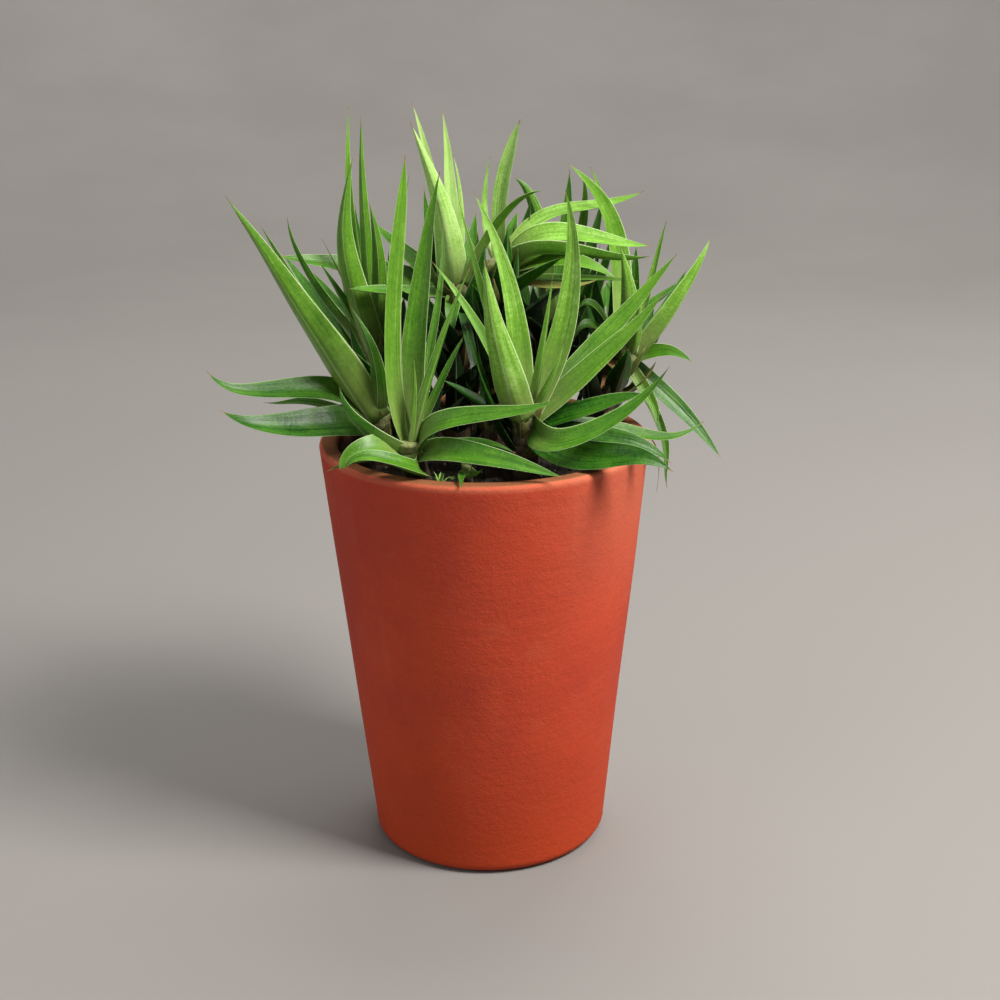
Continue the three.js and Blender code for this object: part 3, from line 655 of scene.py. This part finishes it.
def teeth_patches(leaf, height, step):
    """The teeth of both margins: three-sided points a step apart, which lean to the tip."""
    count = int(TEETH_SHARE * np.linalg.norm(leaf.tip) / step)
    if leaf.width < TOOTHED_WIDTH or leaf.dry or count < 4:
        return []
    s = TEETH_START + TEETH_SHARE * (np.arange(count) + 0.5) / count
    centre, along, side, upper = leaf_line(leaf, s)
    uneven = 0.75 + 0.5 * np.abs(np.sin(7.3 * np.arange(count) + 40 * leaf.seed))
    size = height * uneven[:, None]
    inset = (half_width(leaf, s) - 0.04)[:, None]
    order = np.array([[0, 1, 2], [0, 3, 1], [1, 3, 2], [2, 3, 0]])
    patches = []
    for sign in (1, -1):
        foot = centre + sign * inset * side
        apex = foot + size * (1.2 * sign * side + 0.6 * along)
        corners = np.stack([foot + 0.7 * size * along, foot - 0.7 * size * along,
                            foot - 0.8 * size * upper, apex], 1)
        faces = (4 * np.arange(count)[:, None, None] + order[:, ::sign]).reshape(-1, 3)
        patches.append(Patch(corners, [faces], across=1, along=np.repeat(s, 4), tone=leaf.tone,
                             seed=leaf.seed))
    return patches


def stem_patch(rosette):
    """A rosette's stem: rings round a line that stands upright in the soil and then leans to the
    crown, ribbed by the scars of old leaves, and closed by a dome."""
    crown = np.array(rosette["crown"], float)
    turn = stem_foot(crown) + [0, 0, STEM_UPRIGHT]
    sunk = STEM_DEPTH + STEM_UPRIGHT
    leaning = np.linalg.norm(crown - turn)
    length = sunk + leaning
    rise = np.linspace(0, 1, int(12 + 2 * length))[:, None]
    below = np.clip(rise * length / sunk, 0, 1) - 1
    above = np.clip((rise * length - sunk) / leaning, 0, 1)
    line = turn + [0, 0, sunk] * below + (crown - turn) * above
    scars = 0.93 + 0.07 * np.abs(np.sin(math.pi * rise * length / SCAR_STEP)) ** 0.5
    dome = np.sqrt(1 - 0.98 * np.clip((rise - STEM_DOME) / (1 - STEM_DOME), 0, 1) ** 2)
    angle = np.linspace(0, 2 * math.pi, 20, endpoint=False)
    uneven = 0.96 + 0.04 * np.sin(3 * angle + 5 * rise)
    radius = (rosette.get("stem", STEM_RADIUS) * scars * dome * uneven)[..., None]
    circle = np.stack([np.cos(angle), np.sin(angle), 0 * angle], -1)
    return tube(line[:, None] + circle * radius, 1, along=rise, across=np.cos(angle),
                seed=(crown[0] * 0.37) % 1)


def sheath_patches(rosette):
    """The dry feet of fallen leaves: short papery blades that clasp the stem at golden angles."""
    crown = np.array(rosette["crown"], float)
    foot = stem_foot(crown) + [0, 0, STEM_UPRIGHT]
    radius = rosette.get("stem", STEM_RADIUS)
    axis = unit(crown - foot)
    count = int(np.linalg.norm(crown - foot) / SHEATH_STEP)
    patches = []
    for i in range(count):
        outward = bearing(i * 360 * GOLDEN_SHARE)
        size = radius * (rosette.get("skirt", SKIRT) + 0.3 * scatter(i))
        middle = outward * size * 0.75 + axis * size * 0.3
        base = foot + (crown - foot) * (i + 0.3) / count - outward * 0.2 * radius
        leaf = Leaf(base, axis, radius, (outward + axis) * size, middle[None], radius * 1.3,
                    roll=12 * scatter(3 * i), tone=0.1 + 0.1 * scatter(2 * i),
                    seed=(i * 0.37) % 1, dry=0.3 + 0.2 * scatter(i))
        patches.append(leaf_patch(leaf, SHEATH_ROWS))
    return patches


def rosette_patch(rosette, settings):
    """A rosette: its leaves with their teeth, its stem and the dry sheaths on it."""
    leaves = rosette_leaves(rosette)
    patches = [leaf_patch(leaf, settings.rows) for leaf in leaves]
    for leaf in leaves:
        patches += teeth_patches(leaf, settings.tooth / MM, settings.tooth_step / MM)
    return join([*patches, stem_patch(rosette), *sheath_patches(rosette)])


# ---------------------------------------------------------------- pot and soil


def arc(centre_r, centre_z, radius, start, end, steps):
    angle = np.radians(np.linspace(start, end, steps))
    return np.stack([centre_r + radius * np.cos(angle), centre_z + radius * np.sin(angle)], -1)


def lathe(profile, sides):
    """Rings of a profile of radius and height, turned about Z.  Its first and last points are
    on the axis, and it runs up on the outside, so that the skin faces out."""
    angle = np.linspace(0, 2 * math.pi, sides, endpoint=False)
    circle = np.stack([np.cos(angle), np.sin(angle)], -1)
    flat = profile[:, None, :1] * circle
    height = np.broadcast_to(profile[:, None, 1:], (len(profile), sides, 1))
    return np.concatenate([flat, height], -1)


def inner_radius(z, pot):
    """The inside of the pot's wall at height z, in millimetres."""
    taper = (pot.rim_radius - pot.foot_radius) / pot.height
    return (pot.foot_radius - pot.wall) / MM + taper * z


def pot_patch(pot):
    """The pot: a straight cone turned about Z, with a rounded foot, rim and inner lip.  Its
    wall is worn by up to DEEPEST_WEAR where a slow ripple says so."""
    foot, rim, height = pot.foot_radius / MM, pot.rim_radius / MM, pot.height / MM
    wall, floor = pot.wall / MM, pot.floor / MM
    outside = arc(rim - RIM_ROUND, height - RIM_ROUND, RIM_ROUND, 0, 90, 8)
    heel = arc(foot - FOOT_ROUND, FOOT_ROUND, FOOT_ROUND, -90, 0, 8)
    lip = arc(rim - wall + LIP_ROUND, height - LIP_ROUND, LIP_ROUND, 90, 180, 6)
    inner_foot = (inner_radius(floor, pot), floor)
    profile = np.concatenate([
        np.linspace((0.5, 0), heel[0], 12)[:-1], heel,
        np.linspace(heel[-1], outside[0], 48)[1:-1], outside, lip,
        np.linspace(lip[-1], inner_foot, 30)[1:], np.linspace(inner_foot, (0.5, floor), 12)[1:],
    ])
    rings = lathe(profile, pot.sides)
    above = np.clip(profile[:, 1] / 8, 0, 1)[:, None]
    worn = 0.5 * DEEPEST_WEAR * (1 + ripple(rings, WEAR_SIZE, WEAR_SEED)) * above
    shrunk = np.clip(worn, 0, DEEPEST_WEAR) / np.maximum(profile[:, :1], 20)
    rings[..., :2] *= (1 - shrunk)[..., None]
    return tube(rings)


def cut_drains(pot_piece, floor):
    """Cuts the drain holes out of the pot's floor, and puts the result into its mesh."""
    cutters = []
    for i in range(DRAIN_COUNT):
        at = bearing(90 + 360 * i / DRAIN_COUNT) * DRAIN_CIRCLE
        profile = np.array([(0.1, -floor), (DRAIN_RADIUS, -floor), (DRAIN_RADIUS, 2 * floor),
                            (0.1, 2 * floor)])
        cutters.append(put_mesh("drain", tube(lathe(profile, 40) + at), pot_piece.data.materials))
    for cutter in cutters:
        cut = pot_piece.modifiers.new("drain", "BOOLEAN")
        cut.operation = "DIFFERENCE"
        cut.solver = "EXACT"
        cut.object = cutter
    seen = pot_piece.evaluated_get(bpy.context.evaluated_depsgraph_get())
    drained = bpy.data.meshes.new_from_object(seen)
    pot_piece.modifiers.clear()
    pot_piece.data = drained
    for cutter in cutters:
        bpy.data.objects.remove(cutter)


def soil_height(x, y, reach):
    """The height of the soil's top, which swells to the middle by 1 - (r / reach) ** 2."""
    flat = np.stack([x, y], -1)
    height = SOIL_TOP + SOIL_SWELL * (1 - (x * x + y * y) / reach ** 2)
    for depth, size, seed in SOIL_RIPPLES:
        height = height + depth * ripple(flat, size, seed)
    return height - SOIL_SINK


def soil_patch(pot):
    """The plug of soil: a bottom, a side along the pot's wall, and an uneven top."""
    floor = pot.floor / MM + SOIL_GAP
    reach = inner_radius(SOIL_TOP, pot) - SOIL_GAP
    low = inner_radius(floor, pot) - SOIL_GAP
    profile = np.concatenate([
        np.linspace((0.5, floor), (low, floor), 6)[:-1],
        np.linspace((low, floor), (reach, SOIL_TOP - 1), 24)[:-1],
        np.linspace((reach, SOIL_TOP - 1), (0.5, SOIL_TOP), SOIL_RINGS),
    ])
    rings = lathe(profile, 144)
    top = soil_height(rings[..., 0], rings[..., 1], reach)
    share = np.clip(25 * np.linspace(0, 1, SOIL_RINGS), 0, 1)[:, None]
    rings[-SOIL_RINGS:, :, 2] += (top - rings[..., 2])[-SOIL_RINGS:] * share
    return tube(rings, tone=0.3)


ICO_RATIO = (1 + 5 ** 0.5) / 2
ICO_BELT = [(-1, ICO_RATIO, 0), (1, ICO_RATIO, 0), (-1, -ICO_RATIO, 0), (1, -ICO_RATIO, 0)]
ICO_POINTS = np.concatenate([np.roll(ICO_BELT, turn, axis=1) for turn in range(3)])
ICO_FACES = np.array([
    (0, 11, 5), (0, 5, 1), (0, 1, 7), (0, 7, 10), (0, 10, 11), (1, 5, 9), (5, 11, 4),
    (11, 10, 2), (10, 7, 6), (7, 1, 8), (3, 9, 4), (3, 4, 2), (3, 2, 6), (3, 6, 8),
    (3, 8, 9), (4, 9, 5), (2, 4, 11), (6, 2, 10), (8, 6, 7), (9, 8, 1)])


def grains_patch(count, pot):
    """Loose grains on the soil: dented twenty-sided crumbs, spread evenly over the disc, a few of
    them pale mineral grit."""
    draw = np.random.default_rng(GRAIN_SEED)
    reach = inner_radius(SOIL_TOP, pot) - SOIL_GAP
    r = (reach - GRAIN_MARGIN) * np.sqrt(draw.uniform(0, 1, count))
    angle = draw.uniform(0, 2 * math.pi, count)
    x, y = r * np.cos(angle), r * np.sin(angle)
    size = 0.22 + 0.75 * draw.uniform(0, 1, count) ** 3
    centre = np.stack([x, y, soil_height(x, y, reach) + 0.35 * size], -1)
    shape = unit(ICO_POINTS) * draw.uniform(0.65, 1.15, (count, 12, 1))
    squash = draw.uniform(0.55, 1.0, (count, 1, 3))
    points = centre[:, None] + shape * squash * size[:, None, None]
    faces = (12 * np.arange(count)[:, None, None] + ICO_FACES).reshape(-1, 3)
    grit = draw.uniform(0, 1, count) > GRIT_FROM
    tone, seed = draw.uniform(0, 1, (2, count))
    return Patch(points, [faces], tone=np.repeat(tone, 12), dry=np.repeat(grit.astype(float), 12),
                 seed=np.repeat(seed, 12))


# ---------------------------------------------------------------- sprouts


def sprout_patch(at, blades, length, width, lift, tone, pot):
    """A sprout: small blades round a point of the soil at golden angles, rising turn by turn."""
    reach = inner_radius(SOIL_TOP, pot) - SOIL_GAP
    base = np.array([*at, soil_height(*np.array(at, float), reach)])
    patches = []
    for i in range(blades):
        outward = bearing(i * 360 * GOLDEN_SHARE)
        steep = math.radians(lift + 40 * i / blades)
        size = length * (1 + 0.2 * scatter(i))
        tip = outward * size * math.cos(steep) + np.array([0, 0, size * math.sin(steep)])
        middle = 0.5 * tip + [0, 0, 0.12 * size]
        leaf = Leaf(base, np.array([0, 0, 1.0]), 0.5, tip, middle[None], width, roll=0, tone=tone,
                    seed=(i * 0.37) % 1)
        patches.append(leaf_patch(leaf, SPROUT_ROWS))
    return join(patches)


# ---------------------------------------------------------------- finishes


class Value:
    """A number that varies over a surface.  Arithmetic on it adds the material's Math nodes."""

    def __init__(self, finish, socket):
        self.finish = finish
        self.socket = socket

    def math(self, operation, *others):
        values = dict(enumerate((self, *others)))
        return self.finish.node("ShaderNodeMath", {"operation": operation}, values)

    def __add__(self, other):
        return self.math("ADD", other)

    __radd__ = __add__

    def __mul__(self, other):
        return self.math("MULTIPLY", other)

    __rmul__ = __mul__

    def __sub__(self, other):
        return self.math("SUBTRACT", other)

    def __rsub__(self, other):
        return self * -1 + other

    def __abs__(self):
        return self.math("ABSOLUTE")

    def ramp(self, low, high):
        """0 below low and 1 above high, or the other way round, with a smooth rise between."""
        if low > high:
            return 1 - self.ramp(high, low)
        return self.finish.node("ShaderNodeMapRange", {"interpolation_type": "SMOOTHSTEP"},
                                {"Value": self, "From Min": low, "From Max": high})


class Finish:
    """A material under construction.  `node` adds any node; the other methods are built on it."""

    def __init__(self, name):
        self.material = bpy.data.materials.new(name)
        self.material.use_nodes = True
        self.tree = self.material.node_tree
        self.tree.nodes.clear()

    def node(self, kind, settings, sockets, out=0):
        """Adds a node: first its settings, then the value or the link of each socket by its name
        or place.  Gives back the output `out`."""
        made = self.tree.nodes.new(kind)
        for name, value in settings.items():
            setattr(made, name, value)
        for name, value in sockets.items():
            if isinstance(value, Value):
                self.tree.links.new(value.socket, made.inputs[name])
            elif made.inputs[name].type == "RGBA":
                made.inputs[name].default_value = (*value, 1)
            else:
                made.inputs[name].default_value = value
        return Value(self, made.outputs[out]) if made.outputs else None

    def place(self):
        return self.node("ShaderNodeTexCoord", {}, {}, out="Object")

    def look(self, name):
        return self.node("ShaderNodeAttribute", {"attribute_name": name}, {}, out="Fac")

    def vector(self, x, y, z):
        return self.node("ShaderNodeCombineXYZ", {}, {0: x, 1: y, 2: z})

    def stretched(self, place, x, y, z):
        return self.node("ShaderNodeVectorMath", {"operation": "MULTIPLY"},
                         {0: place, 1: (x, y, z)})

    def split(self, place):
        made = self.node("ShaderNodeSeparateXYZ", {}, {0: place}).socket.node
        return [Value(self, socket) for socket in made.outputs]

    def noise(self, place, scale, detail=3, roughness=0.55):
        return self.node("ShaderNodeTexNoise", {}, {
            "Vector": place, "Scale": scale, "Detail": detail, "Roughness": roughness})

    def mix(self, share, first, second):
        return self.node("ShaderNodeMix", {"data_type": "RGBA"},
                         {0: share, 6: first, 7: second}, out=2)

    def layers(self, colour, *above):
        """A colour with others laid over it in turn, each with its share."""
        for share, over in above:
            colour = self.mix(share, colour, over)
        return colour

    def skin(self, colour, roughness, relief, depth, constants):
        """The surface: what varies over it, then the numbers that are the same all over it."""
        normal = self.node("ShaderNodeBump", {}, {"Height": relief, "Distance": depth})
        surface = self.node("ShaderNodeBsdfPrincipled", {}, {
            "Base Color": colour, "Roughness": roughness, "Normal": normal, **constants})
        self.node("ShaderNodeOutputMaterial", {}, {"Surface": surface})
        return self.material


# The marks on a blade, noises that follow its own directions: how often one repeats across the
# blade and along it, each with its shift from leaf to leaf, how far the two faces differ, its
# detail, and how much paler or darker it makes the green.
LEAF_MARKS = {
    "stripes": (5, 53, 0.8, 17, 3, 2, 0.6),
    "threads": (22, 31, 4, 0, 5, 2, 0.3),
    "bands": (2, 11, 46, 7, 1, 3, 0.3),
    "patches": (1.5, 5, 6, 9, 1, 3, 0.45),
    "flecks": (7, 23, 70, 3, 2, 2, 0.45),
}
OLD_BARK = (0.045, 0.03, 0.016)
SOIL_FIBRE = (0.13, 0.08, 0.04)


def leaf_finish(name, leaf):
    """Leaf skin.  Its green goes from a shaded one through deep and pale to the palest.  It is
    clouded, with faint stripes along the blade, and bands and flecks across it, a paler foot, thin
    pale margins and keel, and a brown point at the tip."""
    skin = Finish(name)
    across, along, face, tone, dry, seed = (skin.look(look) for look in LOOKS)
    place = skin.place()
    clouds = skin.noise(place, 150, 3)
    specks = skin.noise(place, 1500, 2)
    share = tone + (clouds - 0.5) * 0.3 + (face - 0.5) * 0.12
    marks = []
    for wide, first, long, second, apart, detail, strength in LEAF_MARKS.values():
        spot = skin.vector(across * wide + seed * first, along * long + seed * second, face * apart)
        marks.append(skin.noise(spot, 1, detail))
        share = share + (marks[-1] - 0.5) * strength
    stripes, threads, bands, patches, flecks = marks

    foot = along.ramp(0.42, 0.04) * (0.3 + clouds * 0.55) * tone.ramp(-0.1, 0.4)
    margin = abs(across).ramp(0.93, 0.99) * tone.ramp(-0.2, 0.3) * 0.8
    keel = abs(across).ramp(0.10, 0.0) * (1 - face) * 0.35
    end = (along + (clouds - 0.5) * 0.03).ramp(0.94, 0.99)
    withering = (dry * (0.55 + patches) + end * 0.9 + specks.ramp(0.75, 0.8) * 0.2).ramp(0.15, 1.0)
    # the shade layer is painted shade, for the low tones deep in the clump
    colour = skin.layers(
        leaf.deep, (share.ramp(-0.15, 1.2), leaf.pale), (share.ramp(0.55, 1.35), leaf.lit),
        (share.ramp(0.12, -0.35), leaf.shade), (foot, leaf.foot), (margin + keel, leaf.edge),
        (withering, leaf.withered))

    roughness = 0.22 + clouds * 0.16 + flecks * 0.12 + specks * 0.1 + withering * 0.35
    relief = (stripes * 0.6 + threads * 0.2 + specks * 0.1 + bands * 0.35 + patches * 0.5
              + flecks * 0.2)
    return skin.skin(colour, roughness, relief, 0.0002, {
        "Subsurface Weight": 0.1, "Subsurface Radius": (0.5, 1.0, 0.2), "Subsurface Scale": 0.0015,
        "Coat Weight": 0.05, "Coat Roughness": 0.25, "Specular IOR Level": 0.3})


def stem_finish(leaf):
    """Old stem: brown and corky, with fibres along it and a green trace near the crown."""
    skin = Finish("stem_bark")
    place = skin.place()
    along, seed = skin.look("along"), skin.look("seed")
    fibres = skin.noise(skin.stretched(place, 900, 900, 160), 1, 4)
    cork = skin.noise(place, 420, 4)
    young = (along + (cork - 0.5) * 0.5 + seed * 0.1).ramp(0.75, 1.1)
    # both browns are kept dark as painted shade, for the stems stand deep in the clump
    colour = skin.layers(OLD_BARK, (fibres.ramp(0.35, 0.7), leaf.bark), (young * 0.7, leaf.foot))
    return skin.skin(colour, 0.75 + cork * 0.2, fibres + cork, 0.0005, {})


def clay_finish(pot):
    """Fired clay: clouds of a darker red, faint upright streaks and level wiping marks, a deeper
    red near the foot that is painted shade, a painted sheen on the upper right side, a dusty
    paler rim edge that is also a painted highlight, a weathered lip, and an inner wall that is
    damp and painted near black below the rim as shade."""
    skin = Finish("clay")
    place = skin.place()
    x, y, z = skin.split(place)
    outward = (x * x + y * y).math("SQRT")
    depth = z * ((pot.rim_radius - pot.foot_radius) / pot.height) + pot.foot_radius - outward
    clouds = skin.noise(place, 17, 4)
    blotches = skin.noise(place, 62, 5, 0.6)
    grain = skin.noise(place, 1500, 4, 0.6)
    pits = skin.noise(place, 520, 3)
    streaks = skin.noise(skin.stretched(place, 110, 110, 14), 1, 3)
    wiping = skin.noise(skin.stretched(place, 9, 9, 420), 1, 3)

    height = pot.height
    lip = (depth + (blotches - 0.5) * 0.0010).ramp(0.0003, 0.0012)
    inside = (depth + (blotches - 0.5) * 0.0006).ramp(pot.wall - 0.0012, pot.wall - 0.0002)
    weathered = (z.ramp(height - 0.004, height - 0.0012) * lip * 0.95).math("MAXIMUM", inside)
    # the rounded outer edge of the rim is paler: rubbed dusty wear, and a painted highlight
    worn = z.ramp(height - 0.0026, height - 0.0012) * depth.ramp(0.0014, 0.0004)
    colour = skin.layers(
        pot.clay,
        (clouds.ramp(0.36, 0.66) * 0.75, pot.dark),
        (blotches.ramp(0.5, 0.74) * 0.42, pot.dark),
        (blotches.ramp(0.45, 0.28) * 0.05, pot.dust_and_sheen),
        (streaks.ramp(0.56, 0.78) * 0.06, pot.dust_and_sheen),
        (wiping.ramp(0.55, 0.75) * 0.12, pot.dark),
        (grain.ramp(0.58, 0.8) * 0.25, pot.dust_and_sheen),
        # painted shade: a less blue red near the foot, for the weak light that a dark floor gives
        # back
        (z.ramp(0.075, -0.01) * 0.9, pot.low),
        # painted sheen: the upper right side, where the key light falls, is lighter and pinker
        (z.ramp(0.07, height) * x.ramp(0.01, 0.045) * 0.25, pot.dust_and_sheen),
        (weathered, pot.stain),
        # rubbed wear and a painted highlight on the rim's rounded edge
        (worn * (0.05 + blotches * 0.4), pot.dust_and_sheen),
        (inside * blotches.ramp(0.52, 0.7) * 0.4, pot.dust_and_sheen),
        # painted shade, with damp: the inner wall goes near black just below the rim
        (inside * z.ramp(height - 0.001, height - 0.005) * 0.95, pot.damp))

    roughness = 0.74 + grain * 0.14 + blotches * 0.08
    relief = grain * 0.35 + pits * 0.45 + wiping * 0.22 + blotches * 0.6
    return skin.skin(colour, roughness, relief, 0.0004, {"Specular IOR Level": 0.3})


def soil_finish(soil):
    """Potting soil: near-black crumbs with brown fibres and a few pale mineral grains."""
    skin = Finish("soil")
    place = skin.place()
    tone, grit = skin.look("tone"), skin.look("dry")
    crumbs = skin.noise(place, 900, 6, 0.65)
    damp = skin.noise(place, 70, 3)
    fibres = skin.noise(skin.stretched(place, 260, 1400, 900), 1, 3)
    share = (crumbs - 0.5) * 1.6 + tone * 0.6 + (damp - 0.5) * 0.8 + 0.15
    colour = skin.layers(
        soil.dark, (share.ramp(0, 1), soil.light), (fibres.ramp(0.66, 0.74) * 0.35, SOIL_FIBRE),
        (grit * (0.5 + crumbs), soil.grit))
    return skin.skin(colour, 0.82 + damp * 0.15, crumbs + fibres * 0.3, 0.0011,
                     {"Specular IOR Level": 0.3})


def backdrop_finish(stage):
    """Matt paper, a little uneven, and paler towards the wall, where less light reaches it."""
    skin = Finish("backdrop")
    place = skin.place()
    x, y, z = skin.split(place)
    outward = (x * x + y * y).math("SQRT")
    haze = skin.noise(place, 2.6, 4)
    colour = skin.layers(stage.floor, (outward.ramp(0.1, 2.2), stage.wall),
                         (haze.ramp(0.3, 0.7) * 0.22, stage.floor))
    return skin.skin(colour, 0.9, haze, 0.0002, {"Specular IOR Level": 0.2})


# ---------------------------------------------------------------- operators


class HAWORTHIA_OT_pot(bpy.types.Operator):
    """Builds the clay pot with its drain holes"""

    bl_idname = "haworthia.pot"
    bl_label = "Clay pot"

    def execute(self, context):
        pot = context.scene.haworthia_pot
        piece = put_mesh("clay_pot", pot_patch(pot), [clay_finish(pot)])
        cut_drains(piece, pot.floor / MM)
        place_piece(piece, "clay", "pot")
        return {"FINISHED"}


class HAWORTHIA_OT_soil(bpy.types.Operator):
    """Fills the pot with soil and strews grains on it"""

    bl_idname = "haworthia.soil"
    bl_label = "Soil"

    def execute(self, context):
        pot, soil = context.scene.haworthia_pot, context.scene.haworthia_soil
        patch = join([soil_patch(pot), grains_patch(soil.grains, pot)])
        place_piece(put_mesh("potting_soil", patch, [soil_finish(soil)]), "soil", "soil")
        return {"FINISHED"}


class HAWORTHIA_OT_rosettes(bpy.types.Operator):
    """Grows every rosette, each one piece that stands for its node"""

    bl_idname = "haworthia.rosettes"
    bl_label = "Rosettes"

    def execute(self, context):
        leaf = context.scene.haworthia_leaf
        skins = {slot: leaf_finish(slot, leaf) for slot in ("leaf_deep_green", "leaf_pale_green")}
        bark = stem_finish(leaf)
        for node, rosette in ROSETTES.items():
            slot = "leaf_pale_green" if node in PALE_ROSETTES else "leaf_deep_green"
            piece = put_mesh(f"{node}_leaves", rosette_patch(rosette, leaf), [skins[slot], bark])
            place_piece(piece, slot, node)
        return {"FINISHED"}


class HAWORTHIA_OT_sprouts(bpy.types.Operator):
    """Sets the seedling and the pale star on the soil at the front left"""

    bl_idname = "haworthia.sprouts"
    bl_label = "Sprouts"

    def execute(self, context):
        pot = context.scene.haworthia_pot
        skin = bpy.data.materials["leaf_pale_green"]
        for name, sprout in SPROUTS.items():
            place_piece(put_mesh(name, sprout_patch(*sprout, pot), [skin]), "leaf_pale_green")
        return {"FINISHED"}


def area_light(name, power, towards, distance, size, colour, gleams):
    """A soft square light that stands in a direction from the plant's middle and faces it."""
    light = bpy.data.lights.new(name, "AREA")
    light.size, light.energy, light.color = size, power, colour
    lamp = bpy.data.objects.new(name, light)
    middle = Vector(PLANT_MIDDLE)
    lamp.location = middle + Vector(towards).normalized() * distance
    lamp.rotation_euler = (middle - lamp.location).to_track_quat("-Z", "Y").to_euler()
    lamp.visible_glossy = gleams
    bpy.context.scene.collection.objects.link(lamp)


class HAWORTHIA_OT_stage(bpy.types.Operator):
    """Lays the round floor that curves up into a wall, and sets the lights and the camera"""

    bl_idname = "haworthia.stage"
    bl_label = "Stage"

    def execute(self, context):
        stage = context.scene.haworthia_stage
        bend = arc(FLOOR_REACH, BEND_RADIUS, BEND_RADIUS, -90, 0, 32)
        top = (FLOOR_REACH + BEND_RADIUS, WALL_TOP)
        profile = np.concatenate([np.linspace((0.002, 0), bend[0], 24)[:-1], bend,
                                  np.linspace(bend[-1], top, 8)[1:]])
        rings = lathe(profile, BACKDROP_SIDES).reshape(-1, 3)
        points = np.concatenate([rings, [[0, 0, 0]]]) - [0, 0, FLOOR_DROP]
        faces = [grid_faces(len(profile), BACKDROP_SIDES)[:, ::-1],
                 fan_faces(len(rings), 0, BACKDROP_SIDES)]
        put_mesh("backdrop", Patch(points / MM, faces), [backdrop_finish(stage)])

        for name, light in LIGHTS.items():
            area_light(name, getattr(stage, name), *light)
        world = bpy.data.worlds.new("studio")
        world.use_nodes = True
        background = world.node_tree.nodes["Background"]
        background.inputs["Color"].default_value = SURROUNDINGS
        background.inputs["Strength"].default_value = SURROUNDINGS_STRENGTH
        context.scene.world = world
        context.scene.view_settings.view_transform = "Standard"

        view = bpy.data.cameras.new("view")
        view.lens = stage.lens
        camera = bpy.data.objects.new("view", view)
        tilt = Matrix.Rotation(math.radians(90) - stage.pitch, 4, "X")
        roll = Matrix.Rotation(stage.roll, 4, "Z")
        camera.matrix_world = Matrix.Translation(stage.eye) @ tilt @ roll
        context.scene.collection.objects.link(camera)
        context.scene.camera = camera
        return {"FINISHED"}


class HAWORTHIA_PT_panel(bpy.types.Panel):
    """The steps of the potted haworthia, with their settings"""

    bl_idname = "HAWORTHIA_PT_panel"
    bl_label = "Potted Haworthia"
    bl_space_type = "VIEW_3D"
    bl_region_type = "UI"
    bl_category = "Haworthia"

    def draw(self, context):
        for settings, operators in PANEL_ROWS:
            box = self.layout.box()
            group = getattr(context.scene, settings)
            for name in group.__annotations__:
                box.prop(group, name)
            for operator in operators:
                box.operator(operator)


SETTINGS = {
    "haworthia_pot": HaworthiaPotSettings,
    "haworthia_soil": HaworthiaSoilSettings,
    "haworthia_leaf": HaworthiaLeafSettings,
    "haworthia_stage": HaworthiaStageSettings,
}
PANEL_ROWS = (
    ("haworthia_pot", ("haworthia.pot",)),
    ("haworthia_soil", ("haworthia.soil",)),
    ("haworthia_leaf", ("haworthia.rosettes", "haworthia.sprouts")),
    ("haworthia_stage", ("haworthia.stage",)),
)
CLASSES = (*SETTINGS.values(), HAWORTHIA_OT_pot, HAWORTHIA_OT_soil, HAWORTHIA_OT_rosettes,
           HAWORTHIA_OT_sprouts, HAWORTHIA_OT_stage, HAWORTHIA_PT_panel)


def register():
    for cls in CLASSES:
        bpy.utils.register_class(cls)
    for name, group in SETTINGS.items():
        setattr(bpy.types.Scene, name, PointerProperty(type=group))


def unregister():
    for name in SETTINGS:
        delattr(bpy.types.Scene, name)
    for cls in reversed(CLASSES):
        bpy.utils.unregister_class(cls)


def main():
    register()
    bpy.ops.haworthia.pot()
    bpy.ops.haworthia.soil()
    bpy.ops.haworthia.rosettes()
    bpy.ops.haworthia.sprouts()
    bpy.ops.haworthia.stage()


if __name__ == "__main__":
    main()
